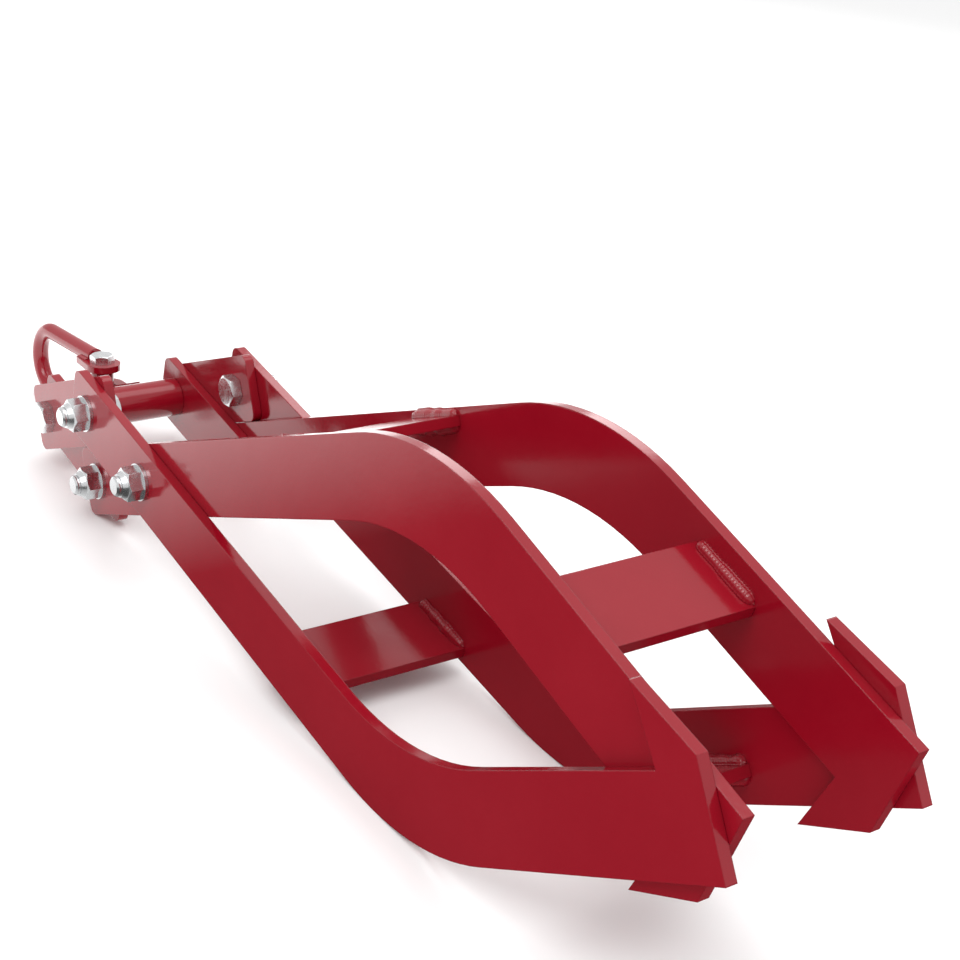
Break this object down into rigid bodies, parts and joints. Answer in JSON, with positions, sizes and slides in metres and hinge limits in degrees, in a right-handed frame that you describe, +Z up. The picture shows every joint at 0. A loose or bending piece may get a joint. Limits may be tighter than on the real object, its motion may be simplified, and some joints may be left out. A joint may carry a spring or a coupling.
{
  "type": "log grapple",
  "caption": "Log grapple of two clawed flat-plate jaws on a four-bar tong linkage of bolted links, hung from a round cross tube, lug and bow shackle.",
  "frame": {"origin": "under the middle of the bounding box, on the floor that the closed grapple lies on", "axes": "+X from the shackle towards the claws, +Z up from the floor, Y along the pivot bolts with the near side at -Y"},
  "size_m": [1.0358, 0.1994, 0.2632],
  "materials": {
    "red_paint": "gloss",
    "zinc": "satin"
  },
  "bodies": {
    "lower_jaw": {"lower_arm_near": "red_paint", "lower_arm_far": "red_paint", "lower_bend_brace": "red_paint", "lower_claw_brace": "red_paint", "lower_welds": "red_paint", "main_bolts": "zinc", "main_washers": "zinc", "main_nuts": "zinc", "outer_bolts": "zinc", "outer_washers": "zinc", "outer_nuts": "zinc"},
    "upper_jaw": {"upper_arm_near": "red_paint", "upper_arm_far": "red_paint", "upper_bend_brace": "red_paint", "upper_claw_brace": "red_paint", "upper_welds": "red_paint", "inner_bolts": "zinc", "inner_washers": "zinc", "inner_nuts": "zinc"},
    "top_links": {"outer_link_near": "red_paint", "outer_link_far": "red_paint", "top_bolt": "zinc", "top_washer": "zinc", "top_nut": "zinc"},
    "bottom_links": {"inner_link_near": "red_paint", "inner_link_far": "red_paint"},
    "hanger": {"hanger_tube": "red_paint", "hanger_lug": "red_paint", "hanger_welds": "red_paint"},
    "shackle": {"shackle_bow": "red_paint", "shackle_ears": "red_paint", "shackle_welds": "red_paint", "shackle_sleeve": "red_paint", "pin_bolt": "zinc", "pin_washer": "zinc", "pin_nut": "zinc"}
  },
  "joints": [
    {"name": "jaw_opening", "type": "hinge", "parent": "lower_jaw", "child": "upper_jaw", "pos_m": [-0.14527, 0, 0.07838], "axis": [0, -1, 0], "range_deg": [0, 113.1]},
    {"name": "outer_link_pivot", "type": "hinge", "parent": "lower_jaw", "child": "top_links", "pos_m": [-0.24815, 0, 0.0936], "axis": [0, -1, 0], "range_deg": [0, 113.1]},
    {"name": "inner_link_pivot", "type": "hinge", "parent": "upper_jaw", "child": "bottom_links", "pos_m": [-0.23951, 0, 0.0344], "axis": [0, -1, 0], "range_deg": [-113.1, 0]},
    {"name": "hanger_swing", "type": "hinge", "parent": "top_links", "child": "hanger", "pos_m": [-0.34239, 0, 0.04962], "axis": [0, -1, 0], "range_deg": [-105, 5]},
    {"name": "shackle_swing", "type": "hinge", "parent": "hanger", "child": "shackle", "pos_m": [-0.38243, 0, 0.04597], "axis": [-0.0907, 0, 0.9959], "range_deg": [-45, 45]}
  ],
  "couplings": [
    {"joint": "outer_link_pivot", "follows": "jaw_opening", "ratio": 1},
    {"joint": "inner_link_pivot", "follows": "jaw_opening", "ratio": -1}
  ]
}
